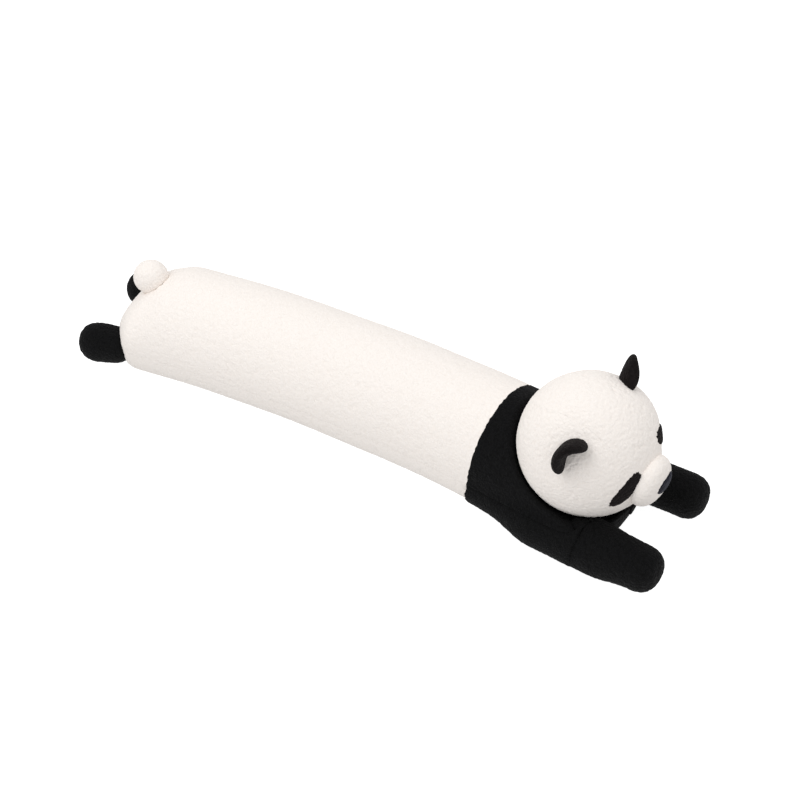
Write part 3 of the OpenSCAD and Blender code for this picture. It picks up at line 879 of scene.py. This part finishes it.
# Ear layer: a round lobe by share rho of its outline, layer * (1 - rho^edge)^0.5 thick, then rolled about the
# ear's upright axis into a cup, turned, leaned and sunk a little into the head
def earLayer(side, which):
    e = earShape
    out = unit(jointPoint(side + "_ear_fold") - headCentre)
    across = jointAxis(side + "_ear_fold")
    forward = np.cross(across, out)
    origin = headCentre + headShape["radius"] * out
    halfWidth, height, slide = e["halfWidth"] * e["scale"][side], e["height"] * e["scale"][side], e["slide"][side]
    rows, cols = int(halfWidth * 1.3 / e["fine"]), int(2 * math.pi * halfWidth / e["fine"])
    rho = np.sin(np.linspace(0, math.pi / 2, rows))[:, None]
    a = np.linspace(0, 2 * math.pi, cols, endpoint=False)[None]
    y = rho * halfWidth * np.cos(a)
    z = height - halfWidth + rho * halfWidth * np.sin(a)
    thick = e["layer"] * np.maximum(1 - rho ** e["edge"], 0) ** 0.5 + 0 * a
    turn, lean = math.radians(e["turn"][side]), math.radians(e["leanBack"][side])

    def place(x):
        roll = y / e["cupRadius"]
        xx = (e["cupRadius"] - x) * (1 - np.cos(roll)) + x - e["setBack"][side]
        yy = (e["cupRadius"] - x) * np.sin(roll) + slide
        xx, yy = xx * math.cos(turn) - yy * math.sin(turn), xx * math.sin(turn) + yy * math.cos(turn)
        xx, zz = xx - z * math.sin(lean), z * math.cos(lean)
        floor = np.sqrt(np.maximum(headShape["radius"] ** 2 - xx ** 2 - yy ** 2, 0)) - headShape["radius"]
        zz = -softMin(-zz, e["root"] - floor, e["rootBlend"])
        return origin + xx[..., None] * forward + yy[..., None] * across + zz[..., None] * out

    sign = 1 if which == "Front" else -1
    grid, flatSide = place(sign * (thick + e["gap"])), place(sign * e["gap"] + 0 * thick)
    n = gridNormals(grid, True)
    flip = (n * (grid - flatSide)).sum(-1).mean() < 0
    n = -n if flip else n
    curl = curls(grid, e["curlSize"], 41)
    outer = grid + n * (e["curlHeight"] * curl * (1 - 0.6 * rho ** 10))[..., None]
    piece = lens(side + "Ear" + which, outer, flatSide, curl, flip)
    bend = ("head", side + "_ear", tuple(origin + e["bendFrom"] * out), tuple(origin + e["bendTo"] * out))
    finish(piece, "ear_fleece", side + "_ear_" + which.lower(), blend=bend)


for side in ("left", "right"):
    for which in ("Back", "Front"):
        earLayer(side, which)
print("head made")

# The gathered fleece and the thread that close the head underneath
neckShape = {"rows": 24, "cols": 96, "radius": 90.6 * mm, "reach": 33, "gather": 0.25 * mm, "gathers": 24,
             "thickness": 0.7 * mm, "curlHeight": 0.1 * mm, "ringRadius": 53 * mm, "thread": 0.45 * mm,
             "stitch": 6 * mm}
sideways = unit(np.cross(neckAxis, headLeft))
neckLeft = np.cross(neckAxis, sideways)


# Direction from the head's middle by the angle from the bottom of the neck's axis and the turn round it
def neckDirection(fromPole, turn):
    ring = np.cos(turn)[..., None] * sideways + np.sin(turn)[..., None] * neckLeft
    return -np.cos(fromPole)[..., None] * neckAxis + np.sin(fromPole)[..., None] * ring


reach = math.radians(neckShape["reach"])
poleAngles, turns = np.meshgrid(np.linspace(0, reach, neckShape["rows"]),
                                np.linspace(0, 2 * math.pi, neckShape["cols"], endpoint=False), indexing="ij")
gathers = neckShape["gather"] * np.sin(turns * neckShape["gathers"]) * np.sin(poleAngles / reach * math.pi)
discGrid = headCentre + (neckShape["radius"] + gathers)[..., None] * neckDirection(poleAngles, turns)
disc = panel("neckClosingDisc", discGrid, headCentre, wrap=True, thickness=neckShape["thickness"],
             curlHeight=neckShape["curlHeight"], rollDepth=0)
finish(disc, "cream_fleece", "neck_closing_disc", "neck")
ringAngle = math.asin(neckShape["ringRadius"] / neckShape["radius"])
neckPath = headCentre + neckShape["radius"] * neckDirection(np.full_like(seamTurns, ringAngle), seamTurns)
finish(thread("neckStitching", neckPath, neckShape["thread"], neckShape["stitch"]),
       "cream_thread", "neck_stitching", "neck")
print("neck made")

stage = {
    "floorSize": 80, "floorColour": 0.4, "floorRoughness": 0.9, "floorSpecular": 0.1, "floorGlow": 0.95,
    "worldStrength": 0.72, "aim": (0, 0, 0.05),
    "keyLight": {"place": (-0.6, -1.3, 2.3), "size": 1.7, "power": 20},
    "backLight": {"place": (0.2, 0.9, 2.4), "size": 1.8, "power": 7},
    "camera": {"place": (0.71655, -1.15753, 1.26917), "azimuth": 30.6, "elevation": 42.0,
               "lens": 60.75, "sensor": 36},
}
bpy.ops.mesh.primitive_plane_add(size=stage["floorSize"], location=(0, 0, 0))
floor = bpy.context.object
floor.name = "floor"
floorFinish = Finish("paleFloor")
for socket, value in (("Base Color", (stage["floorColour"],) * 3 + (1,)), ("Roughness", stage["floorRoughness"]),
                      ("Specular IOR Level", stage["floorSpecular"]), ("Emission Color", (1, 1, 1, 1)),
                      ("Emission Strength", stage["floorGlow"])):
    floorFinish.shader.inputs[socket].default_value = value
floor.data.materials.append(floorFinish.material)
floor.visible_diffuse = False  # the floor's glow doesn't light the underside

world = bpy.data.worlds.new("studio")
bpy.context.scene.world = world
world.use_nodes = True
world.node_tree.nodes["Background"].inputs["Color"].default_value = (1, 1, 1, 1)
world.node_tree.nodes["Background"].inputs["Strength"].default_value = stage["worldStrength"]

for name in ("keyLight", "backLight"):
    lamp = bpy.data.lights.new(name, "AREA")
    lamp.shape, lamp.size, lamp.energy = "DISK", stage[name]["size"], stage[name]["power"]
    holder = bpy.data.objects.new(name, lamp)
    holder.location = stage[name]["place"]
    dx, dy, dz = np.array(stage["aim"]) - np.array(stage[name]["place"])
    holder.rotation_euler = (math.atan2(math.hypot(dx, dy), -dz), 0, math.atan2(dy, dx) - math.pi / 2)
    bpy.context.scene.collection.objects.link(holder)

view = stage["camera"]
camera = bpy.data.cameras.new("camera")
camera.lens, camera.sensor_width = view["lens"], view["sensor"]
cameraHolder = bpy.data.objects.new("camera", camera)
cameraHolder.location = view["place"]
cameraHolder.rotation_euler = (math.pi / 2 - math.radians(view["elevation"]), 0, math.radians(view["azimuth"]))
bpy.context.scene.collection.objects.link(cameraHolder)
bpy.context.scene.camera = cameraHolder
bpy.context.scene.view_settings.view_transform = "Standard"
print("stage made")
